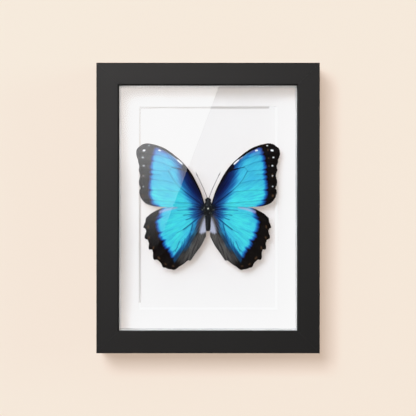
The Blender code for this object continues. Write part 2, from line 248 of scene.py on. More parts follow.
frame_width = cad_box[1].x - cad_box[0].x
frame_height = cad_box[1].z - cad_box[0].z
paint_across = black_paint("satin_black_across", (0.05, 1.0, 1.0))
paint_upright = black_paint("satin_black_upright", (1.0, 1.0, 0.05))
make_rail("bottom", 0, frame_width, frame_height, paint_across)
make_rail("right", 1, frame_height, frame_width, paint_upright)
make_rail("top", 2, frame_width, frame_height, paint_across)
make_rail("left", 3, frame_height, frame_width, paint_upright)


# Glass pane: 2 mm picture glass, cut square and dropped into the rebate behind the lip. It casts no
# shadow of its own, so the card behind it keeps its light.
def refinish(finish, *nodes):
    """Gives CAD nodes a better material."""
    for node in nodes:
        for material_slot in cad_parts[node].material_slots:
            material_slot.material = finish.material


glass = Finish("picture_glass", 0.0)
glass.set(Base_Color=(1.0, 1.0, 1.0, 1.0), Transmission_Weight=1.0, IOR=1.5)
shadow_ray = glass.node("ShaderNodeLightPath", {}, {}, "Is Shadow Ray")
see_through = glass.node("ShaderNodeBsdfTransparent", {}, {}, "BSDF")
shaded = Signal(glass, glass.shader.outputs["BSDF"])
both = glass.node("ShaderNodeMixShader", {}, {0: shadow_ray, 1: shaded, 2: see_through}, "Shader")
glass.plug(both, glass.tree.nodes["Material Output"].inputs["Surface"])
refinish(glass, "glass_pane")


# Spacers: strips of white foam board glued round the inside, which hold the mat 16 mm behind the
# glass. Paper covers them, with the foam's cut edge hidden behind the lip.
def card(name, shade, dusk, fibre):
    """Uncoated white paper: faint clouds, with short fibres that catch the light."""
    finish = Finish(name, 0.8)
    clouds = finish.noise(9 * MM, 4.0)
    fibres = finish.noise(0.28 * MM, 5.0, stretch=(1.0, 1.0, 0.35))
    finish.colour = finish.blend(clouds * 0.7 + fibres * 0.3, dusk, shade)
    finish.set(Base_Color=finish.colour, Roughness=0.72 + 0.12 * fibres)
    finish.bump(fibres, fibre, 0.6)
    return finish


foam_paper = card("foam_board_paper", tone("F0EEEB"), tone("EBE9E6"), 0.03 * MM)
refinish(foam_paper, "spacer_top", "spacer_bottom", "spacer_left", "spacer_right")


# Window mat: 1.5 mm white conservation board. Its window is cut at 45 degrees, so that the solid
# white core shows as a thin bevel all the way round, with painted shade on the left and top cuts
# and painted light on the right and bottom ones.
BEVEL_HALF_WIDTH = 51.5 * MM
BEVEL_HALF_HEIGHT = 75.5 * MM
RIGHT_CUT = 45.5 * MM
BOTTOM_CUT = 35.5 * MM
mat_paper = card("mat_board_paper", tone("E2DFDE"), tone("E0DDDC"), 0.02 * MM)
mat_place = mat_paper.node("ShaderNodeTexCoord", {}, {}, "Object")
mat_x = mat_paper.node("ShaderNodeSeparateXYZ", {}, {"Vector": mat_place}, "X")
mat_z = mat_paper.node("ShaderNodeSeparateXYZ", {}, {"Vector": mat_place}, "Z")
past_side = mat_paper.maths('ABSOLUTE', mat_x) - BEVEL_HALF_WIDTH
past_end = mat_paper.maths('ABSOLUTE', mat_z - MIDDLE_Z) - BEVEL_HALF_HEIGHT
is_paper = mat_paper.step(mat_paper.maths('MAXIMUM', past_side, past_end), -0.05 * MM, 0.05 * MM)
# Painted light and shade: the bevel's core is grey on the left and top cuts, which face away from the light,
# and pure white on the right and bottom cuts, which face it.
at_right = mat_paper.step(mat_x, RIGHT_CUT - 0.5 * MM, RIGHT_CUT + 0.5 * MM)
at_bottom = 1.0 - mat_paper.step(mat_z, BOTTOM_CUT - 0.5 * MM, BOTTOM_CUT + 0.5 * MM)
painted_light_side = mat_paper.maths('MAXIMUM', at_right, at_bottom)
bevel_painted_shade = mat_paper.blend(painted_light_side, tone("D9D6D4"), tone("FFFFFF"))
mat_paper.set(Base_Color=mat_paper.blend(is_paper, bevel_painted_shade, mat_paper.colour))
refinish(mat_paper, "mat_board")


# Backing board: 5 mm white foam board behind the window. The pin is pushed into it.
backing_paper = card("backing_paper", tone("E1DEDD"), tone("DFDCDB"), 0.03 * MM)
refinish(backing_paper, "backing_board")


# Butterfly's body: head, thorax and a ringed abdomen in one shell, covered with fine dark hair that
# lies back towards the tail. The eyes are smooth and dark, with the palps standing up between them.
PIN_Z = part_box("insect_pin")[0].z / 2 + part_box("insect_pin")[1].z / 2
THORAX_Y = (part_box("butterfly_body")[0].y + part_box("butterfly_body")[1].y) / 2
BODY_SIDES = 24
# Height from the pin, half width, and depth as a share of the width
BODY_RINGS = [(8.0, 0.05, 1.0), (7.8, 0.9, 1.0), (7.2, 1.45, 1.0), (6.4, 1.65, 1.0), (5.6, 1.75, 1.0),
              (5.0, 1.85, 1.0), (4.5, 2.2, 0.95), (3.6, 2.7, 0.9), (2.4, 2.85, 0.9), (0.6, 2.95, 0.88),
              (-1.4, 2.85, 0.88), (-3.0, 2.5, 0.9), (-4.2, 2.0, 0.95), (-5.0, 1.6, 1.0)]
ABDOMEN_TOP = -5.2
ABDOMEN_TIP = -16.9
ABDOMEN_RINGS = 8
HAIR_SEED = 4
# Count, lowest and highest start, length, lift from the body, and spread sideways
HAIR_BANDS = [(1000, -5.6, 4.6, 2.4, 0.45, 0.7), (260, 4.6, 7.6, 1.1, 0.8, 0.6),
              (520, -16.0, -5.0, 1.1, 0.2, 0.35)]
HAIR_R = 0.09
TUFTS = [(-4.7, -0.8), (4.6, -0.8)]
TUFT_HAIRS = 50
TUFT_HAIR_R = 0.07
PALP_HAIRS = 40
PALP_HAIR_R = 0.1
EYE_R = 1.05
FACET = 0.09


def abdomen_rings():
    """Rings that swell and pinch once for each segment, tapering towards the tail."""
    rings = []
    for i in range(ABDOMEN_RINGS * 3 + 1):
        share = i / (ABDOMEN_RINGS * 3)
        swell = 1.0 if i % 3 else 0.9
        close = min(1.0, 3.2 * math.sqrt(max(1.0 - share, 0.0)) + 0.02)
        half = (2.3 - 0.7 * share ** 1.3) * swell * close
        rings.append((ABDOMEN_TOP + (ABDOMEN_TIP - ABDOMEN_TOP) * share, half, 1.0))
    return rings


def body_half_width(z):
    """Half the body's width at a height, read between its rings."""
    rings = sorted(BODY_RINGS + abdomen_rings())
    return float(np.interp(z, [ring[0] for ring in rings], [ring[1] for ring in rings]))


def spun(profile, sides):
    """A shell turned about the Z axis from (z, radius) points."""
    bm = bmesh.new()
    verts = [bm.verts.new((radius, 0.0, z)) for z, radius in profile]
    edges = [bm.edges.new(pair) for pair in zip(verts, verts[1:])]
    bmesh.ops.spin(bm, geom=verts + edges, cent=(0, 0, 0), axis=(0, 0, 1), steps=sides, angle=math.tau,
                   use_merge=True)
    bmesh.ops.remove_doubles(bm, verts=bm.verts, dist=1e-4)
    for face in bm.faces:
        face.smooth = True
    return bm


def add_hair(bm, strand, root, direction, length, thickness, shade):
    """One hair: a thin cone of three sides, lightest where shade is 1."""
    turn = direction.to_track_quat('Z', 'Y').to_matrix().to_4x4()
    place = Matrix.Translation(root + direction * length / 2) @ turn
    made = bmesh.ops.create_cone(bm, cap_ends=True, segments=3, radius1=thickness,
                                 radius2=thickness * 0.15, depth=length, matrix=place)
    for vert in made["verts"]:
        vert[strand] = shade
        for face in vert.link_faces:
            face.material_index = 1
            face.smooth = True


def add_coat(bm, strand, chance):
    """The hair that lies over the thorax, the head and the abdomen."""
    for count, low, high, length, lift, spread in HAIR_BANDS:
        for _ in range(count):
            z = chance.uniform(low, high)
            angle = chance.uniform(0, math.tau)
            half = body_half_width(z) * 0.93
            out = Vector((math.cos(angle), math.sin(angle), 0.0))
            root = Vector((out.x * half, out.y * half * 0.9, z))
            lean = Vector((chance.uniform(-spread, spread), chance.uniform(-spread, spread), -1.0))
            direction = (lean + out * lift * chance.uniform(0.4, 1.4)).normalized()
            add_hair(bm, strand, root, direction, length * chance.uniform(0.6, 1.2), HAIR_R,
                     chance.random() ** 3.5)


def add_tufts(bm, strand, chance):
    """A pale tuft on each side, over the root of the wings."""
    for x, z in TUFTS:
        for _ in range(TUFT_HAIRS):
            outward = math.copysign(0.8, x) + chance.uniform(-0.5, 0.5)
            direction = Vector((outward, chance.uniform(-0.6, 0.1), chance.uniform(-0.9, 0.5))).normalized()
            root_x = x - math.copysign(0.7, x) + chance.uniform(-0.3, 0.3)
            root = Vector((root_x, -1.6, z + chance.uniform(-0.4, 0.4)))
            add_hair(bm, strand, root, direction, chance.uniform(0.5, 1.0), TUFT_HAIR_R,
                     chance.uniform(0.5, 0.95))


def add_palp_and_eye(bm, strand, chance, side):
    """One of the two brushes that stand up on the head, and the eye beside it."""
    for _ in range(PALP_HAIRS):
        root = Vector((side * chance.uniform(0.1, 0.8), -1.0, 7.2))
        direction = Vector((side * 0.25, chance.uniform(-0.5, 0.0), 1.0)).normalized()
        add_hair(bm, strand, root, direction, chance.uniform(0.8, 1.3), PALP_HAIR_R, chance.random() * 0.4)
    eye = bmesh.ops.create_icosphere(bm, subdivisions=3, radius=EYE_R,
                                     matrix=Matrix.Translation((side * 1.2, -0.55, 6.4)))
    for vert in eye["verts"]:
        for face in vert.link_faces:
            face.material_index = 2
            face.smooth = True


def make_body():
    """The shell from its rings, then the hair, the tufts, the palps and the eyes."""
    rings = BODY_RINGS + abdomen_rings()
    bm = spun([(z, half) for z, half, depth in rings], BODY_SIDES)
    ring_places = [-ring[0] for ring in rings]
    ring_depths = [ring[2] for ring in rings]
    for vert in bm.verts:
        vert.co.y *= float(np.interp(-vert.co.z, ring_places, ring_depths))
    bmesh.ops.recalc_face_normals(bm, faces=bm.faces)
    strand = bm.verts.layers.float.new("strand")
    chance = random.Random(HAIR_SEED)
    add_coat(bm, strand, chance)
    add_tufts(bm, strand, chance)
    for side in (-1, 1):
        add_palp_and_eye(bm, strand, chance, side)
    place = Matrix.Translation((0, THORAX_Y, PIN_Z)) @ Matrix.Scale(MM, 4)
    bmesh.ops.transform(bm, matrix=place, verts=bm.verts)
    return bm


chitin = Finish("body_shell", 0.5)
chitin_clouds = chitin.noise(0.5 * MM, 4.0)
chitin.set(Base_Color=chitin.blend(chitin_clouds, tone("08090B"), tone("1A1E24")),
           Roughness=0.42 + 0.2 * chitin_clouds, Specular_IOR_Level=0.25)
chitin.bump(chitin_clouds, 0.05 * MM)
fur = Finish("body_hair", 0.6)
strand_shade = fur.node("ShaderNodeAttribute", {"attribute_name": "strand"}, {}, "Fac")
fur_clouds = fur.noise(0.8 * MM, 2.0)
fur_colour = fur.node("ShaderNodeValToRGB", {"stops": [
    (0.0, tone("080606")), (0.4, tone("131011")), (0.75, tone("3A423F")), (1.0, tone("A6ABAA"))]},
    {0: strand_shade * 0.9 + fur_clouds * 0.1}, "Color")
fur.set(Base_Color=fur_colour, Roughness=0.5 + 0.2 * fur_clouds, Specular_IOR_Level=0.15)
fur.bump(fur_clouds, 0.02 * MM)
eye_surface = Finish("compound_eye", 0.2)
eye_place = eye_surface.node("ShaderNodeTexCoord", {}, {}, "Object")
facets = eye_surface.node("ShaderNodeTexVoronoi", {},
                          {"Scale": 1 / (FACET * MM), "Vector": eye_place}, "Distance")
eye_surface.set(Base_Color=eye_surface.blend(facets, tone("1A1210"), tone("0A0807")),
                Roughness=0.18 + 0.1 * facets)
eye_surface.bump(facets, 0.01 * MM)
add_piece("butterfly_body_furred", make_body(), [chitin, fur, eye_surface], ["butterfly_body"])


# Wings: two forewings and two hindwings, each a thin membrane on stiff veins and covered with scales
# that turn the light blue. They are relaxed, spread flat with the body and left to dry. The forewings
# lie in front of the hindwings.
WING_THICKNESS = 0.22
FOREWING_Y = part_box("forewing_right")[0].y / MM
HINDWING_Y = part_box("hindwing_right")[0].y / MM
SET_BACK = 0.3
# A sheet is divided into squares of this size, so that it can bend
CELL = 0.45
SMOOTH_STEPS = 5
# How far the margin's fringe of scales is worn
FRAY = 0.16
PLEAT_RISE = 0.16
VEIN_DIP = 0.12
ARCH_DEPTH = 0.7
ARCH_REACH = 62.0
RIPPLE = 0.06
# The violet patch by a forewing's tip lies round this place
TIP_PATCH = (35.5, 43.0)
# Further away than any place on a wing is from another
FAR = 60.0

FOREWING = {
    "edge": [(2.5, 2.7), (4.0, 8.6), (5.8, 13.7), (8.8, 19.9), (11.7, 25.2), (15.4, 30.4), (19.1, 34.5),
             (23.5, 38.4), (28.0, 42.0), (32.4, 44.8), (36.8, 46.6), (41.3, 47.7), (45.7, 48.3), (49.4, 47.2),
             (52.4, 44.6), (53.3, 41.6), (52.9, 38.2), (52.0, 36.6), (51.9, 34.2), (50.9, 31.4), (51.4, 28.4),
             (50.3, 24.6), (51.2, 20.6), (51.0, 17.8), (50.1, 15.2), (51.1, 12.4), (50.0, 8.6), (48.2, 5.6),
             (45.8, 3.6), (40.8, 1.9), (33.9, 1.2), (23.5, 1.2), (12.4, 1.6), (2.5, 1.3)],
    "blue": [(39.6, 44.8), (41.0, 41.8), (42.6, 38.1), (43.3, 32.9), (43.7, 27.0), (44.2, 21.1), (44.5, 15.2),
             (44.4, 10.0), (43.6, 5.6), (41.4, 2.3), (38.0, 0.6), (38.0, -6.0), (-6.0, -6.0), (-6.0, 2.0),
             (3.5, 6.0), (6.9, 13.0), (10.2, 18.6), (13.2, 23.8), (16.5, 28.8), (20.4, 33.6), (24.4, 37.4),
             (28.7, 41.0), (32.8, 43.6), (36.6, 45.2)],
    "veins": [[(19.0, 29.2), (22.0, 29.5), (26.7, 30.6), (28.4, 28.9), (29.3, 27.5)],
              [(29.3, 27.5), (35.3, 28.1), (41.6, 28.7), (52.0, 29.6)],
              [(29.0, 27.6), (26.1, 22.2), (22.4, 17.4), (17.6, 13.0), (11.6, 8.1), (5.8, 4.1)],
              [(23.5, 18.5), (28.7, 20.0), (34.6, 20.9), (42.0, 21.6), (51.0, 21.8)],
              [(17.6, 12.3), (23.5, 12.8), (30.9, 13.5), (41.3, 13.7), (51.0, 13.4)],
              [(5.8, 2.7), (12.4, 3.8), (23.5, 4.7), (35.3, 5.8), (41.3, 6.4), (49.0, 7.4)],
              [(35.3, 25.4), (41.3, 25.3), (51.0, 25.2)],
              [(26.5, 31.1), (30.9, 32.6), (35.3, 34.4), (41.3, 35.2), (52.0, 36.4)],
              [(22.8, 33.7), (28.0, 37.0), (32.4, 38.1), (35.3, 39.6), (41.3, 40.0), (52.0, 41.5)],
              [(23.5, 38.1), (28.0, 41.1), (32.4, 43.7), (38.0, 46.2)]],
    "mark": [(1.5, [(16.2, 28.4), (17.4, 29.8)]), (1.1, [(17.4, 29.8), (18.4, 31.0)]),
             (0.5, [(16.6, 28.2), (19.4, 28.7), (22.0, 29.4)]), (0.25, [(22.0, 29.4), (26.7, 30.6)]),
             (0.05, [(26.7, 30.6), (28.4, 28.9), (29.3, 27.5)]),
             (0.05, [(29.0, 27.6), (26.1, 22.2), (22.4, 17.4), (17.6, 13.0)]),
             (0.2, [(17.6, 13.0), (11.6, 8.1), (5.8, 4.1)]), (0.1, [(5.8, 2.7), (12.4, 3.8), (20.0, 4.4)])],
    "spot": [(0.5, [(19.3, 32.9), (22.4, 35.7)]), (0.08, [(22.4, 35.7), (25.6, 38.2)]),
             (0.5, [(35.2, 42.8), (36.3, 43.0)]), (0.28, [(43.4, 46.4), (44.0, 46.4)]),
             (0.6, [(46.8, 43.0), (47.7, 42.8)]), (0.42, [(48.0, 37.7), (48.4, 37.7)]),
             (0.46, [(47.4, 31.6), (47.6, 31.6)]), (0.32, [(47.5, 24.1), (47.6, 24.1)]),
             (0.36, [(47.6, 16.3), (47.7, 16.3)])],
    "lilac": [(-0.3, [(22.4, 36.4), (27.2, 40.3), (31.5, 43.0), (35.2, 44.2)]),
              (-0.4, [(24.4, 36.6), (28.8, 40.2), (33.0, 42.4)])],
    "lush": [(14.0, 3.0), (28.0, 6.5), (42.0, 8.0)],
    "costa": 24,
    "brown": [(0.0, [(44.2, 43.6), (44.2, 42.8)]), (0.0, [(44.6, 37.4), (44.9, 37.0)]),
              (0.0, [(45.0, 31.6), (45.0, 31.2)]), (0.3, [(47.8, 9.7), (47.8, 9.2)]),
              (0.1, [(47.5, 25.2), (47.6, 23.2)])],
    "ruffle": 8.0,
    "root": [(30.0, 60.0), (17.2, 30.0), (16.5, 26.0), (15.6, 22.6), (14.2, 18.2), (11.4, 12.3), (8.4, 8.0),
             (6.6, 4.5), (6.0, 2.6), (5.6, -6.0)],
    "fold": [],
    "wedge": [],
}
HINDWING = {
    "edge": [(2.5, 1.2), (12.4, 1.6), (23.5, 1.9), (33.1, 0.2), (36.5, -1.0), (40.4, -3.1), (43.3, -5.4),
             (45.1, -7.3), (45.2, -9.2), (46.4, -12.5), (46.8, -14.0), (45.3, -15.1), (44.9, -17.3),
             (45.7, -20.2), (45.7, -22.1), (43.8, -23.2), (42.9, -26.1), (43.1, -29.5), (42.4, -30.4),
             (40.5, -30.6), (39.8, -33.5), (39.8, -36.9), (38.7, -38.0), (36.4, -38.1), (34.2, -40.5),
             (33.1, -42.8), (31.6, -43.9), (30.5, -43.7), (29.4, -44.6), (26.5, -45.0), (25.0, -45.4),
             (23.5, -45.1), (20.9, -43.1), (18.0, -41.3), (15.4, -39.1), (14.3, -38.3), (12.8, -38.6),
             (11.7, -37.2), (8.8, -32.8), (5.1, -27.6), (2.1, -21.7), (1.4, -18.8), (1.5, -5.5)],
    "blue": [(35.7, -2.9), (36.8, -5.5), (38.7, -7.7), (39.0, -9.9), (37.9, -12.1), (38.1, -14.3),
             (37.0, -16.5), (36.4, -20.2), (34.8, -23.2), (33.4, -25.0), (32.8, -27.6), (30.9, -30.0),
             (29.2, -32.2), (28.0, -33.4), (27.0, -35.7), (25.4, -38.0), (24.3, -39.4), (22.8, -36.5),
             (19.6, -33.2), (16.2, -30.6), (13.7, -27.6), (12.2, -23.9), (10.6, -21.0), (8.7, -17.3),
             (7.6, -13.2), (6.1, -8.4), (4.1, -5.1), (-6.0, 0.0), (-6.0, 9.0), (30.0, 9.0)],
    "veins": [[(5.0, -0.6), (11.7, -1.4), (20.0, -2.2), (30.0, -4.4), (38.0, -8.6), (46.0, -12.6)],
              [(5.0, -3.2), (11.7, -8.2), (17.6, -12.6), (26.0, -15.6), (37.0, -18.6), (45.0, -21.4)],
              [(17.6, -15.1), (23.5, -18.8), (29.4, -22.4), (35.0, -25.6), (42.6, -29.6)],
              [(17.6, -15.1), (22.0, -21.6), (27.0, -28.0), (33.0, -34.0), (38.4, -37.4)],
              [(5.8, -4.7), (9.5, -8.4), (13.2, -11.7), (17.6, -15.1)],
              [(11.3, -10.6), (12.1, -15.1), (14.2, -20.2), (18.0, -27.0), (22.5, -34.0), (31.0, -43.4)],
              [(7.0, -8.4), (8.8, -15.0), (12.6, -22.0), (17.6, -31.0), (21.0, -39.0), (24.8, -45.0)]],
    "mark": [],
    "shade": [(0.2, [(7.3, -2.9), (12.0, -4.2), (17.7, -5.0)]), (0.25, [(7.9, -5.3), (15.8, -8.4)]),
              (0.35, [(6.0, -6.0), (12.2, -11.2), (17.7, -15.5)]), (0.2, [(11.0, -11.5), (12.2, -16.4)]),
              (0.25, [(12.6, -18.2), (15.2, -28.1)]), (0.15, [(18.4, -24.6), (20.4, -33.0)]),
              (0.15, [(20.5, -24.2), (23.6, -31.8)]), (0.1, [(21.8, -28.6), (25.4, -32.2)]),
              (0.0, [(17.7, -15.5), (22.5, -18.0)]), (0.15, [(16.6, -22.0), (18.0, -30.0)]),
              (0.1, [(21.6, -32.0), (23.4, -37.4)]),
              (0.1, [(7.0, -0.6), (14.0, -0.8), (22.0, -1.4)])],
    "spot": [],
    "lilac": [(0.6, [(23.0, 0.9), (28.0, -0.2), (34.5, -2.4)])],
    "lush": [(16.0, -6.0), (26.0, -12.0), (27.0, -24.0)],
    "costa": 0,
    "brown": [(0.1, [(42.9, -12.8), (43.1, -14.2)]), (0.1, [(42.4, -20.8), (42.7, -22.0)]),
              (0.1, [(39.2, -28.2), (39.5, -29.6)]), (0.15, [(35.8, -35.8), (34.9, -37.0)]),
              (0.0, [(31.0, -40.6), (30.2, -41.4)]), (0.0, [(25.6, -42.4), (24.6, -42.5)])],
    "ruffle": 24.0,
    "root": [(7.2, 12.0), (7.2, 2.0), (7.4, -2.5), (5.8, -6.0), (4.2, -11.0), (1.0, -20.0)],
    "fold": [(2.0, -3.0), (1.5, -5.5), (1.4, -18.8), (2.1, -21.7), (5.1, -27.6), (8.8, -32.8), (11.7, -37.2)],
    "wedge": [(1.8, -6.0), (2.8, -8.4), (4.2, -11.6), (5.4, -15.0), (5.9, -17.6), (4.7, -18.2), (3.4, -17.6),
              (1.2, -17.0), (1.2, -10.0)],
}
FOREWING["shade"] = [(-0.1, line) for line in FOREWING["veins"]]


def smooth_run(points):
    """A closed outline that passes smoothly through every given point, frayed away from the root."""
    run = []
    count = len(points)
    wear = random.Random(count)
    for i in range(count):
        p0, p1, p2, p3 = (Vector(points[(i + k) % count]) for k in (-1, 0, 1, 2))
        for step in range(SMOOTH_STEPS):
            t = step / SMOOTH_STEPS
            place = 0.5 * (2 * p1 + (p2 - p0) * t + (2 * p0 - 5 * p1 + 4 * p2 - p3) * t ** 2
                           + (3 * p1 - p0 - 3 * p2 + p3) * t ** 3)
            run.append(place * (1.0 - FRAY * wear.random() / 20 * min(1.0, place.x / 40)))
    return run


def distance_to(points, line):
    """How far each point is from a line through the given places."""
    nearest = np.full(len(points), FAR)
    for start, end in zip(line, line[1:]):
        along = np.subtract(end, start)
        share = np.clip((points - start) @ along / (along @ along), 0.0, 1.0)
        nearest = np.minimum(nearest, np.linalg.norm(points - start - share[:, None] * along, axis=1))
    return nearest


def depth_inside(points, outline):
    """How deep each point lies inside a closed outline, and below 0 outside it."""
    if not outline:
        return np.full(len(points), -FAR)
    within = np.zeros(len(points), bool)
    closed = list(outline) + [outline[0]]
    for (x1, z1), (x2, z2) in zip(closed, closed[1:]):
        spans = (z1 > points[:, 1]) != (z2 > points[:, 1])
        within ^= spans & (points[:, 0] < x1 + (points[:, 1] - z1) * (x2 - x1) / ((z2 - z1) or 1e-9))
    return np.where(within, 1.0, -1.0) * distance_to(points, closed)


def depth_in_marks(points, marks):
    """How deep each point lies in the nearest of some round-ended strokes."""
    depth = np.full(len(points), -FAR)
    for half_width, line in marks:
        depth = np.maximum(depth, half_width - distance_to(points, line))
    return depth


def pattern(points, wing):
    """What the wing's scales need to know at each point, in millimetres."""
    root = np.array(wing["root"])
    side = np.interp(points[:, 1], root[::-1, 1], root[::-1, 0])
    beyond = np.where(points[:, 0] > side, 1.0, -1.0) * distance_to(points, wing["root"])
    return {
        "blue": depth_inside(points, wing["blue"]),
        "rim": distance_to(points, wing["edge"][:wing["costa"]]),
        "vein": np.min([distance_to(points, line) for line in wing["veins"]], axis=0),
        "mark": depth_in_marks(points, wing["mark"]),
        "shade": depth_in_marks(points, wing["shade"]),
        "spot": depth_in_marks(points, wing["spot"]),
        "lilac": depth_in_marks(points, wing["lilac"]),
        "lush": distance_to(points, wing["lush"]),
        "brown": depth_in_marks(points, wing["brown"]),
        "beyond": beyond,
        "ruffle": np.full(len(points), wing["ruffle"]),
        "fold": FAR - distance_to(points, wing["fold"]),
        "wedge": depth_inside(points, wing["wedge"]),
        "tip": np.linalg.norm(points - np.array(TIP_PATCH), axis=1),
        "turn": 20 * np.arctan2(points[:, 1] + 1.0, points[:, 0]),
        "reach": np.linalg.norm(points, axis=1),
    }


def cut_from_sheet(outline):
    """A flat sheet in the shape of an outline of (x, z) points, divided into small squares."""
    bm = bmesh.new()
    bm.faces.new([bm.verts.new((point.x, 0.0, point.y)) for point in outline])
    for axis, normal in ((0, (1, 0, 0)), (2, (0, 0, 1))):
        low = min(vert.co[axis] for vert in bm.verts)
        high = max(vert.co[axis] for vert in bm.verts)
        for i in range(1, int((high - low) / CELL) + 1):
            place = [0.0, 0.0, 0.0]
            place[axis] = low + i * CELL - CELL / 3
            bmesh.ops.bisect_plane(bm, geom=bm.verts[:] + bm.edges[:] + bm.faces[:], dist=1e-4,
                                   plane_co=place, plane_no=normal)
    if sum(face.normal.y for face in bm.faces) > 0:
        bmesh.ops.reverse_faces(bm, faces=bm.faces)
    for face in bm.faces:
        face.smooth = True
    return bm


def make_wing(name, node, wing, sheet, y_front, side, spread):
    """A wing from its flat sheet: pleated along the veins, arched, then given its thickness."""
    points = np.array([(vert.co.x, vert.co.z) for vert in sheet.verts])
    facts = pattern(points, wing)
    vein = facts["vein"]
    pleat = PLEAT_RISE * np.minimum(vein, 3.0) - VEIN_DIP * np.exp(-(vein / 0.4) ** 2)
    arch = -ARCH_DEPTH * np.sin(np.clip(facts["reach"] / ARCH_REACH, 0, 1) * math.pi)
    ripple = RIPPLE * np.sin(facts["turn"] * 1.7) * np.clip(facts["reach"] / 40.0 - 0.3, 0, 1)
    bm = sheet.copy()
    for vert, rise in zip(bm.verts, pleat + arch + ripple):
        vert.co.y = rise + SET_BACK
    size = Matrix.Diagonal((side * spread * MM, MM, MM, 1.0))
    place = Matrix.Translation((0, y_front * MM, PIN_Z))
    bmesh.ops.transform(bm, matrix=place @ size, verts=bm.verts)
    if side < 0:
        bmesh.ops.reverse_faces(bm, faces=bm.faces)
    piece = add_piece(name, bm, [scales, underside], [node])
    for fact, values in facts.items():
        layer = piece.data.attributes.new(fact, 'FLOAT', 'POINT')
        layer.data.foreach_set("value", values.astype(np.float32))
    thicken = piece.modifiers.new("membrane", 'SOLIDIFY')
    thicken.thickness = WING_THICKNESS * MM
    thicken.offset = -1.0
    thicken.material_offset = 1
    thicken.material_offset_rim = 1


def wing_scales():
    """Blue scales inside a black margin, with dark veins and white spots, from the wing's own facts."""
    finish = Finish("blue_scales", 0.55)
    fact = {name: finish.node("ShaderNodeAttribute", {"attribute_name": name}, {}, "Fac")
            for name in ("blue", "rim", "vein", "mark", "shade", "spot", "lilac", "lush", "brown",
                         "beyond", "ruffle", "fold", "wedge", "tip", "turn", "reach")}
    along = fact["reach"] * 0.05
    fan = finish.node("ShaderNodeCombineXYZ", {}, {"X": fact["turn"], "Y": along, "Z": 0.0})
    streaks = finish.node("ShaderNodeTexNoise", {},
                          {"Vector": fan, "Scale": 1.6, "Detail": 5.0, "Roughness": 0.65})
    rays = finish.node("ShaderNodeTexNoise", {},
                       {"Vector": fan, "Scale": 0.5, "Detail": 4.0, "Roughness": 0.7})
    drift = finish.noise(7 * MM, 3.0)
    grain = finish.noise(0.22 * MM, 3.0)

    notch = (1.0 - finish.step(fact["vein"], 0.0, 1.4)) * 1.2
    field = fact["blue"] - notch + (streaks - 0.5) * 3.0
    inner = finish.blend(finish.step(fact["lush"], 3.0, 15.0), tone("44D2D4"), tone("40B8D0"))
    fringe = finish.node("ShaderNodeValToRGB", {"stops": [
        (0.0, tone("100D20")), (0.2, tone("122A62")), (0.38, tone("16488E")), (0.58, tone("1C68AE")),
        (0.8, tone("2688C4")), (1.0, tone("32A6D2"))]}, {0: field * 0.3}, "Color")
    blues = finish.blend(finish.step(field, 1.8, 5.0), fringe, inner)
    soft = finish.step(fact["fold"], 44.0, 51.0)
    blues = finish.blend(soft * (1.0 - finish.step(field, 1.5, 5.0)) * 0.85, blues, tone("1B567C"))
    sheen = finish.step(streaks * 0.7 + drift * 0.3, 0.38, 0.62)
    blues = finish.blend((1.0 - sheen) * finish.step(field, 1.0, 5.0) * 0.6, blues, tone("2A94C6"))

    base = fact["beyond"] + (rays - 0.5) * fact["ruffle"] + (streaks - 0.5) * 5.0
    base_blues = finish.node("ShaderNodeValToRGB", {"stops": [
        (0.0, tone("040A30")), (0.22, tone("0A1B50")), (0.42, tone("10326A")), (0.62, tone("1A5894")),
        (0.82, tone("2A82B6")), (1.0, tone("38A8CC"))]}, {0: (base + 2.5) * 0.1}, "Color")
    colour = finish.blend(finish.step(base, 4.0, 10.0), base_blues, blues)
    violet = (1.0 - finish.step(fact["tip"], 1.0, 7.0)) * 0.6
    colour = finish.blend(violet, colour, tone("4C60A4"))
    colour = finish.blend(finish.step(fact["shade"], -0.5, 0.2) * 0.85, colour, tone("0C3A6C"))
    line = 1.0 - finish.step(fact["vein"], 0.1, 0.5)
    colour = finish.blend(line * 0.1, colour, tone("103A68"))
    colour = finish.blend(finish.step(fact["lilac"], -1.2, 0.9) * 0.7, colour, tone("A5A6CC"))
    down = fact["reach"] + (rays - 0.5) * 10.0 + (streaks - 0.5) * 4.0
    colour = finish.blend((1.0 - finish.step(down, 4.2, 7.5)) * 0.9, colour, tone("090C14"))
    wisps = finish.step(streaks, 0.54, 0.64) * (1.0 - finish.step(fact["reach"], 6.0, 14.0)) * 0.5
    colour = finish.blend(wisps, colour, tone("566A80"))

    blackness = finish.blend(finish.noise(1.6 * MM, 3.0), tone("030202"), tone("120B08"))
    grey = finish.blend(finish.step(streaks, 0.36, 0.64), tone("262526"), tone("575451"))
    inner_margin = finish.step(fact["fold"] + (streaks - 0.5) * 7.0, 48.5, 56.5)
    blackness = finish.blend(inner_margin, blackness, grey)
    edge_of_blue = finish.blend(soft, finish.step(field, -0.35, 0.35), finish.step(field, -1.6, 1.6))
    colour = finish.blend(edge_of_blue, blackness, colour)
    colour = finish.blend(finish.step(fact["wedge"] + (streaks - 0.5) * 2.0, -1.3, 0.9), colour,
                          finish.blend(streaks, tone("888BA0"), tone("BEC1D2")))
    colour = finish.blend(1.0 - finish.step(fact["rim"], 0.35, 0.95), colour, blackness)
    colour = finish.blend(finish.step(fact["mark"], -0.28, 0.25), colour, tone("0B0A14"))
    colour = finish.blend(finish.step(fact["brown"], -0.8, 0.3) * 0.7, colour, tone("6A4E36"))
    colour = finish.blend(finish.step(fact["spot"], -0.35, 0.3), colour, tone("E8ECF2"))
    finish.set(Base_Color=finish.blend(grain * 0.1, colour, tone("000408")),
               Roughness=0.5 + 0.16 * grain, Specular_IOR_Level=0.03)
    finish.bump(0.5 * grain + 0.5 * streaks + 2.0 * line, 0.04 * MM, 0.8)
    return finish


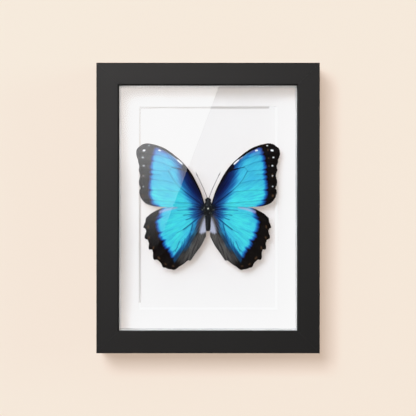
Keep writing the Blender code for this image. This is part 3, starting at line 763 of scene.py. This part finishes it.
def wing_underside():
    """Dull brown scales with paler bands, which the wings show to the card behind them."""
    finish = Finish("brown_underside", 0.7)
    bands = finish.noise(3.5 * MM, 3.0, stretch=(1.0, 1.0, 0.5))
    grain = finish.noise(0.25 * MM, 3.0)
    finish.set(Base_Color=finish.blend(finish.step(bands, 0.4, 0.62), tone("8A5C34"), tone("B58250")),
               Roughness=0.6 + 0.2 * grain)
    finish.bump(grain, 0.02 * MM)
    return finish


scales = wing_scales()
underside = wing_underside()
for kind, wing, wing_y, left_spread in (("forewing", FOREWING, FOREWING_Y, 1.0),
                                        ("hindwing", HINDWING, HINDWING_Y, 1.025)):
    wing_sheet = cut_from_sheet(smooth_run(wing["edge"]))
    make_wing("scaled_%s_right" % kind, kind + "_right", wing, wing_sheet, wing_y, 1, 1.0)
    make_wing("scaled_%s_left" % kind, kind + "_left", wing, wing_sheet, wing_y, -1, left_spread)
    wing_sheet.free()


# Antennae: two fine ringed threads that stand up from between the eyes and end in slim clubs.
ANTENNA_PATH = [(0.7, -0.9, 7.6), (1.3, -0.8, 9.6), (2.9, -0.6, 13.7), (5.2, -0.55, 18.8),
                (7.4, -0.5, 23.3), (9.2, -0.5, 27.0)]
ANTENNA_RINGS = 60
ANTENNA_R = 0.21
CLUB_R = 0.3
CLUB_START = 0.8


def make_antenna(side):
    """A tube drawn ring by ring along the antenna's path, pinched between its joints."""
    path = [Vector((side * x, y, z)) for x, y, z in ANTENNA_PATH]
    stations = []
    for i in range(ANTENNA_RINGS + 1):
        share = i / ANTENNA_RINGS * (len(path) - 1)
        at = min(int(share), len(path) - 2)
        stations.append(path[at].lerp(path[at + 1], share - at))
    bm = bmesh.new()
    lean = (path[-1] - path[0]).to_track_quat('Z', 'Y').to_matrix().to_4x4()
    ring = bmesh.ops.create_circle(bm, cap_ends=True, segments=8, radius=ANTENNA_R,
                                   matrix=Matrix.Translation(stations[0]) @ lean)["verts"]
    edges = bm.edges[:]
    last_size = 1.0
    for i in range(1, len(stations)):
        share = i / ANTENNA_RINGS
        size = (1.0 - 0.25 * share) * (1.0 if i % 2 else 0.86)
        if share > CLUB_START:
            along_club = min(1.0, (share - CLUB_START) / (1.0 - CLUB_START))
            club = CLUB_R / ANTENNA_R * math.sin(math.pi * along_club ** 0.7)
            size = max(size, club) if share < 0.97 else max(club, 0.3)
        moved = bmesh.ops.extrude_edge_only(bm, edges=edges)["geom"]
        verts = [part for part in moved if isinstance(part, bmesh.types.BMVert)]
        edges = [part for part in moved if isinstance(part, bmesh.types.BMEdge)]
        bmesh.ops.translate(bm, vec=stations[i] - stations[i - 1], verts=verts)
        bmesh.ops.scale(bm, vec=(size / last_size,) * 3, space=Matrix.Translation(-stations[i]),
                        verts=verts)
        last_size = size
    bmesh.ops.contextual_create(bm, geom=edges)
    place = Matrix.Translation((0, THORAX_Y, PIN_Z)) @ Matrix.Scale(MM, 4)
    bmesh.ops.transform(bm, matrix=place, verts=bm.verts)
    bmesh.ops.recalc_face_normals(bm, faces=bm.faces)
    for face in bm.faces:
        face.smooth = True
    return bm


horn = Finish("antenna_horn", 0.5)
horn_clouds = horn.noise(0.4 * MM, 2.0)
horn.set(Base_Color=horn.blend(horn_clouds, tone("3A302B"), tone("62554C")),
         Roughness=0.45 + 0.1 * horn_clouds)
horn.bump(horn_clouds, 0.01 * MM)
add_piece("antenna_thread_left", make_antenna(-1), [horn], ["antenna_left"])
add_piece("antenna_thread_right", make_antenna(1), [horn], ["antenna_right"])


# Insect pin: a fine steel pin with a small pale head, pushed through the thorax into the board.
PIN_R = 0.24
PIN_HEAD_R = 0.58
PIN_HEAD_STEPS = 12
PIN_HEAD_TURN = math.pi * 0.86
PIN_TAPER = 1.6
PIN_POINT = 0.5
PIN_SIDES = 20


def make_pin():
    """Turned from the head's top to the point: a round head, a straight shank and a taper."""
    low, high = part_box("insect_pin")
    top, tip = low.y / MM, high.y / MM
    centre = top + PIN_HEAD_R
    angles = [PIN_HEAD_TURN * i / PIN_HEAD_STEPS for i in range(PIN_HEAD_STEPS + 1)]
    head = [(centre - PIN_HEAD_R * math.cos(angle), PIN_HEAD_R * math.sin(angle)) for angle in angles]
    shank_and_point = [(centre + PIN_HEAD_R, PIN_R), (tip - PIN_TAPER, PIN_R),
                       (tip - PIN_POINT, PIN_R * 0.4), (tip, 0.0)]
    bm = spun(head + shank_and_point, PIN_SIDES)
    laid = Matrix.Scale(MM, 4) @ Matrix.Rotation(-math.pi / 2, 4, 'X')
    bmesh.ops.transform(bm, matrix=Matrix.Translation((0, 0, PIN_Z)) @ laid, verts=bm.verts)
    bmesh.ops.recalc_face_normals(bm, faces=bm.faces)
    return bm


pin_finish = Finish("pin_steel_and_head", 0.25)
pin_place = pin_finish.node("ShaderNodeTexCoord", {}, {}, "Object")
pin_depth = pin_finish.node("ShaderNodeSeparateXYZ", {}, {"Vector": pin_place}, "Y")
head_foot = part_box("insect_pin")[0].y + 1.15 * MM
shank = pin_finish.step(pin_depth, head_foot, head_foot + 0.05 * MM)
pin_scuffs = pin_finish.noise(0.3 * MM, 3.0)
pin_finish.set(Base_Color=pin_finish.blend(shank, tone("DAD4C2"), tone("B9B9B6")), Metallic=shank,
               Roughness=0.22 + 0.15 * pin_scuffs)
pin_finish.bump(pin_scuffs, 0.005 * MM)
add_piece("insect_pin_turned", make_pin(), [pin_finish], ["insect_pin"])


# Back panel: 3 mm brown hardboard that closes the frame and carries the hanger. Pressed wood fibre,
# with darker flecks and a faint sheen on its smooth face.
def hardboard():
    """Pressed brown fibre: long soft clouds, fine fibres, and darker flecks."""
    finish = Finish("pressed_hardboard", 0.7)
    fibres = finish.noise(0.5 * MM, 5.0, stretch=(0.4, 1.0, 1.0))
    clouds = finish.noise(16 * MM, 4.0)
    flecks = finish.step(finish.noise(0.8 * MM, 2.0, stretch=(0.3, 1.0, 1.0)), 0.66, 0.72)
    brown = finish.blend(clouds * 0.5 + fibres * 0.5, tone("8A5F3B"), tone("A9794F"))
    finish.set(Base_Color=finish.blend(flecks * 0.6, brown, tone("5C3B22")),
               Roughness=0.6 + 0.2 * fibres)
    finish.bump(fibres + flecks * 0.3, 0.08 * MM, 0.7)
    return finish


refinish(hardboard(), "back_panel")


# Framer's tabs: eight stamped steel tongues with round ends, pressed into the rebate over the panel.
def sheet_metal(name, bright, dull, stretch):
    """Rolled metal: fine lines along the strip, with soft tarnish."""
    finish = Finish(name, 0.35)
    lines = finish.noise(0.12 * MM, 4.0, stretch=stretch)
    tarnish = finish.noise(3.0 * MM, 3.0)
    finish.set(Base_Color=finish.blend(tarnish, bright, dull), Metallic=1.0,
               Roughness=0.26 + 0.16 * tarnish + 0.1 * lines)
    finish.bump(lines, 0.01 * MM, 0.5)
    return finish


tab_steel = sheet_metal("tab_steel", tone("C9C9C6"), tone("A3A29E"), (0.08, 1.0, 1.0))
for side in ("bottom", "right", "top", "left"):
    refinish(tab_steel, "tab_%s_1" % side, "tab_%s_2" % side)


# Saw-tooth hanger: a stamped strip of zinc-plated steel. Its ends lie on the panel, under two nails,
# and its toothed middle stands off, to catch a nail in the wall.
hanger_zinc = sheet_metal("hanger_zinc", tone("D2D0C8"), tone("AEA99C"), (0.08, 1.0, 1.0))
refinish(hanger_zinc, "sawtooth_hanger")


# Hanger nails: two small brass nails with flat heads, driven through the hanger's ends.
nail_brass = sheet_metal("nail_brass", tone("C8A060"), tone("9C7740"), (1.0, 1.0, 1.0))
refinish(nail_brass, "hanger_nail_left", "hanger_nail_right")


# Studio: the frame hangs on a plain pale wall, which stands for the floor. Soft light comes from the
# upper left and from all round, and a white card beside the camera leaves its reflection on the glass.
WALL_COLOUR = tone("FFEDDE")
WALL_SIZE = 12.0
WALL_GAP = 0.3 * MM
FRONT_GLOW = (0.06, 0.057, 0.054, 1.0)
BACK_GLOW = (0.75, 0.74, 0.73, 1.0)
BACKDROP = (0.86, 0.84, 0.82, 1.0)
# The glare card's outline from the middle of the frame, and the height over which its light grows
CARD_FOOT = -0.068
CARD_CORNERS = [(-0.18, 0.2), (0.0255, 0.2), (0.0148, 0.176), (-0.0508, 0.003), (-0.0778, CARD_FOOT),
                (-0.18, CARD_FOOT)]
CARD_FADE = 0.152
CARD_LEVELS = [(0.03, 0.0), (0.22, 0.15), (0.32, 0.25), (0.38, 0.375), (0.57, 0.5), (0.72, 0.62),
               (0.86, 0.82), (0.95, 1.0)]
CARD_STRENGTH = 4.5
# Only the brightest whites are held back, by a shoulder on the film's response
WHITE_LEVEL = 1.6
SHOULDER = [(0.525, 0.84), (0.575, 0.902), (0.64, 0.93), (0.72, 0.947)]
SHOULDER_END = (1.0, 0.99)
CAMERA_X = -0.04 * MM
CAMERA_DISTANCE = 1.2
VIEW_WIDTH = 0.3034
SENSOR = 36.0


def add_stage(name, bm, finish):
    mesh = bpy.data.meshes.new(name)
    bm.to_mesh(mesh)
    bm.free()
    mesh.materials.append(finish.material)
    thing = bpy.data.objects.new(name, mesh)
    bpy.context.scene.collection.objects.link(thing)
    return thing


def make_wall():
    """A wall right behind the frame. Only the camera sees it, and only from the front."""
    finish = Finish("wall_paint", 0.9)
    clouds = finish.noise(0.4, 3.0)
    roller = finish.noise(1.2 * MM, 3.0)
    finish.set(Base_Color=finish.blend(clouds * 0.8 + roller * 0.2, WALL_COLOUR, tone("FFEEE0")),
               Roughness=0.85 + 0.1 * roller)
    finish.bump(roller, 0.03 * MM, 0.4)
    behind = finish.node("ShaderNodeNewGeometry", {}, {}, "Backfacing")
    clear = finish.node("ShaderNodeBsdfTransparent", {}, {}, "BSDF")
    painted = Signal(finish, finish.shader.outputs["BSDF"])
    either = finish.node("ShaderNodeMixShader", {}, {0: behind, 1: painted, 2: clear}, "Shader")
    finish.plug(either, finish.tree.nodes["Material Output"].inputs["Surface"])
    bm = bmesh.new()
    bmesh.ops.create_grid(bm, x_segments=12, y_segments=12, size=WALL_SIZE / 2)
    place = Matrix.Translation((0, cad_box[1].y + WALL_GAP, 0)) @ Matrix.Rotation(math.pi / 2, 4, 'X')
    bmesh.ops.transform(bm, matrix=place, verts=bm.verts)
    wall = add_stage("wall", bm, finish)
    wall.visible_diffuse = False
    wall.visible_glossy = False
    wall.visible_transmission = True
    wall.visible_shadow = False


def add_light(name, place, width, height, watts, colour, in_gloss):
    """A soft box that faces the middle of the frame. The camera never sees it."""
    lamp = bpy.data.lights.new(name, 'AREA')
    lamp.shape = 'RECTANGLE'
    lamp.size = width
    lamp.size_y = height
    lamp.energy = watts
    lamp.color = colour
    box = bpy.data.objects.new(name, lamp)
    bpy.context.scene.collection.objects.link(box)
    aim = Vector((0, 0, MIDDLE_Z)) - Vector(place)
    box.matrix_world = Matrix.Translation(place) @ aim.to_track_quat('-Z', 'Y').to_matrix().to_4x4()
    box.visible_camera = False
    box.visible_glossy = in_gloss
    box.visible_transmission = False


def make_glare_card():
    """A white card by the camera, seen only in the glass: it fades downwards, with one slanted edge."""
    finish = Finish("glare_card", 1.0)
    place = finish.node("ShaderNodeTexCoord", {}, {}, "Object")
    height = finish.node("ShaderNodeSeparateXYZ", {}, {"Vector": place}, "Z")
    climb = (height - (MIDDLE_Z + CARD_FOOT)) * (1 / CARD_FADE)
    stops = [(share, (level, level, level, 1.0)) for share, level in CARD_LEVELS]
    fade = finish.node("ShaderNodeValToRGB", {"stops": stops}, {0: climb}, "Color")
    finish.set(Base_Color=(0.0, 0.0, 0.0, 1.0), Specular_IOR_Level=0.0, Emission_Color=fade,
               Emission_Strength=CARD_STRENGTH)
    bm = bmesh.new()
    y = cad_box[0].y - CAMERA_DISTANCE
    bm.faces.new([bm.verts.new((x, y, MIDDLE_Z + z)) for x, z in CARD_CORNERS])
    bmesh.ops.subdivide_edges(bm, edges=bm.edges, cuts=1)
    card_piece = add_stage("glare_card", bm, finish)
    card_piece.visible_camera = False
    card_piece.visible_diffuse = False
    card_piece.visible_transmission = False
    card_piece.visible_shadow = False


make_wall()
add_light("key", (-1.35, -5.0, 1.74), 1.95, 1.9, 143.0, (0.82, 0.91, 1.0), True)
add_light("front_fill", (0.0, -5.0, MIDDLE_Z), 0.5, 0.5, 134.0, (1.0, 0.915, 0.84), False)
add_light("right_fill", (3.5, -1.5, 0.8), 1.5, 1.5, 12.0, (1.0, 0.95, 0.9), False)
add_light("back_box", (1.5, 4.0, 2.0), 2.5, 2.5, 90.0, (1.0, 1.0, 1.0), True)
make_glare_card()

world = bpy.data.worlds.new("studio")
world.use_nodes = True
studio = Mixer(world.node_tree)
direction = studio.node("ShaderNodeTexCoord", {}, {}, "Generated")
behind = studio.node("ShaderNodeSeparateXYZ", {}, {"Vector": direction}, "Y")
glow = studio.blend(studio.step(behind, 0.05, 0.6), FRONT_GLOW, BACK_GLOW)
to_camera = studio.node("ShaderNodeLightPath", {}, {}, "Is Camera Ray")
sky = world.node_tree.nodes["Background"]
studio.plug(studio.blend(to_camera, glow, BACKDROP), sky.inputs["Color"])
world.cycles_visibility.transmission = False
bpy.context.scene.world = world

film = bpy.context.scene.view_settings
film.view_transform = 'Standard'
film.use_curve_mapping = True
film.curve_mapping.white_level = (WHITE_LEVEL,) * 3
response = film.curve_mapping.curves[3].points
response[0].handle_type = 'VECTOR'
response[-1].location = SHOULDER_END
for share, level in SHOULDER:
    response.new(share, level)
response[1].handle_type = 'VECTOR'
film.curve_mapping.update()

camera = bpy.data.objects.new("camera", bpy.data.cameras.new("camera"))
bpy.context.scene.collection.objects.link(camera)
camera.data.sensor_width = SENSOR
camera.data.lens = SENSOR * CAMERA_DISTANCE / VIEW_WIDTH
camera.location = (CAMERA_X, cad_box[0].y - CAMERA_DISTANCE, MIDDLE_Z)
camera.rotation_euler = (math.pi / 2, 0, 0)
bpy.context.scene.camera = camera
